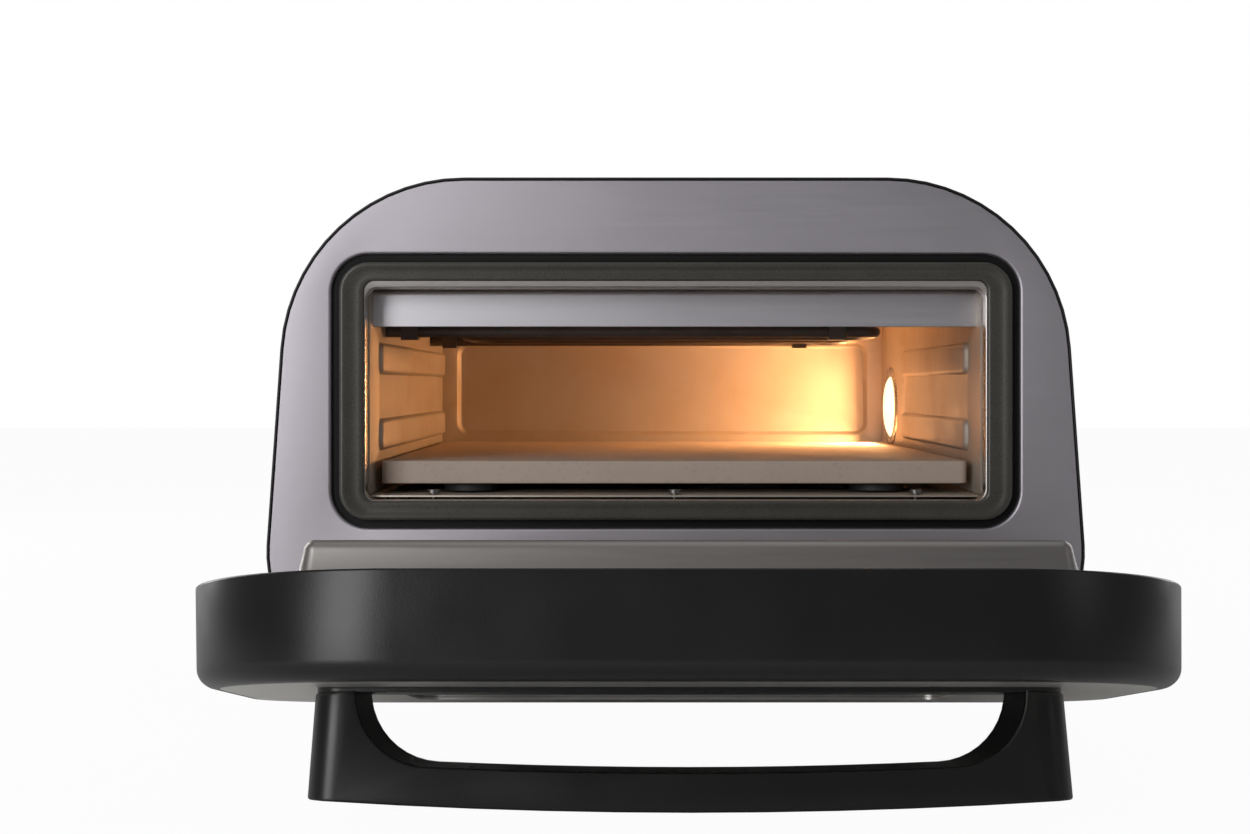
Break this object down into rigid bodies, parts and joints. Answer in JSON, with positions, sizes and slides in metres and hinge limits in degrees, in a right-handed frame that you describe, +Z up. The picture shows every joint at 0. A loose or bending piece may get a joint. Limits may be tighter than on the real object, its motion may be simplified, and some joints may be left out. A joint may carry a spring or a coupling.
{
  "type": "countertop electric pizza oven",
  "caption": "Countertop electric oven for one round pizza: drop-down front door with handle, heated cavity with lift-out baking stone, lamp and side controls.",
  "frame": {"origin": "on the counter, midway across and midway along the whole object with its door open", "axes": "+X to the oven's right seen from the front, +Y to its rear, +Z up"},
  "size_m": [0.4396, 0.6665, 0.288],
  "materials": {
    "black_shell": "satin black coating",
    "brushed_face": "fine satin stainless steel",
    "zinc_sheet": "dull zinc-coated steel sheet",
    "oven_liner": "bright oven liner sheet, a little heat stained",
    "seal_rubber": "dark grey heat-proof silicone",
    "foot_rubber": "matt black rubber",
    "heater_steel": "dark oxidised heater sheath",
    "white_ceramic": "unglazed off-white ceramic",
    "screw_steel": "plain steel",
    "lamp_glass": "frosted heat-proof lamp glass",
    "wool": "yellow mineral wool",
    "black_plastic": "semi-matt black heat-proof plastic",
    "probe_copper": "copper sensing tube",
    "red_plastic": "red translucent plastic",
    "stone": "unglazed cordierite, dry and slightly speckled",
    "door_glass": "smoked tempered glass"
  },
  "bodies": {
    "housing": {"outer_shell": "black_shell", "base_pan": "zinc_sheet", "rear_panel": "black_shell", "front_plate": "brushed_face", "mouth_frame": "brushed_face", "door_seal": "seal_rubber", "cavity_left_wall": "oven_liner", "cavity_right_wall": "oven_liner", "cavity_rear_wall": "oven_liner", "cavity_roof": "oven_liner", "cavity_floor": "oven_liner", "front_baffle": "oven_liner", "upper_heater": "heater_steel", "lower_heater": "heater_steel", "heater_clips": "heater_steel", "heater_bushes": "white_ceramic", "stone_rests": "oven_liner", "front_screws": "screw_steel", "lamp_bezel": "screw_steel", "lamp_lens": "lamp_glass", "lamp_bulb": "lamp_glass", "lamp_socket": "white_ceramic", "lamp_housing": "zinc_sheet", "insulation_blanket": "wool", "rear_insulation": "wool", "heat_shield": "zinc_sheet", "cavity_stands": "zinc_sheet", "thermal_cutout": "black_plastic", "thermostat_body": "white_ceramic", "thermostat_probe": "probe_copper", "timer_body": "zinc_sheet", "switch_body": "black_plastic", "control_panel": "black_plastic", "pilot_lights": "red_plastic", "terminal_block": "white_ceramic", "cord_gland": "black_plastic", "case_screws": "screw_steel", "foot_front_left": "black_plastic", "foot_front_right": "black_plastic", "foot_rear_left": "black_plastic", "foot_rear_right": "black_plastic", "foot_pads": "foot_rubber", "foot_screws": "screw_steel", "hinge_bracket_left": "screw_steel", "hinge_bracket_right": "screw_steel", "hinge_pins": "screw_steel"},
    "door": {"door_rim": "black_plastic", "door_outer_panel": "brushed_face", "door_inner_panel": "brushed_face", "door_pan": "brushed_face", "door_window_outer": "door_glass", "door_window_inner": "door_glass", "handle": "black_plastic", "handle_rail": "black_plastic", "handle_screws": "screw_steel", "hinge_leaves": "screw_steel"},
    "stone": {"pizza_stone": "stone"},
    "temperature_control": {"temperature_knob": "black_plastic"},
    "timer_control": {"timer_knob": "black_plastic"},
    "power_switch": {"power_rocker": "red_plastic"}
  },
  "joints": [
    {"name": "door_hinge", "type": "hinge", "parent": "housing", "child": "door", "pos_m": [0, -0.088, 0.0395], "axis": [-1, 0, 0], "range_deg": [0, 77.3]},
    {"name": "stone_slide", "type": "slide", "parent": "housing", "child": "stone", "axis": [0, 1, 0], "range_m": [-0.3, 0]},
    {"name": "temperature_turn", "type": "hinge", "parent": "housing", "child": "temperature_control", "pos_m": [0.21195, 0.0298, 0.15], "axis": [-0.9976, 0, -0.0698], "range_deg": [0, 270]},
    {"name": "timer_turn", "type": "hinge", "parent": "housing", "child": "timer_control", "pos_m": [0.21195, 0.0858, 0.15], "axis": [-0.9976, 0, -0.0698], "range_deg": [0, 300]},
    {"name": "rocker_tilt", "type": "hinge", "parent": "housing", "child": "power_switch", "pos_m": [0.20846, 0.1418, 0.14976], "axis": [0, -1, 0], "range_deg": [0, 16]}
  ]
}
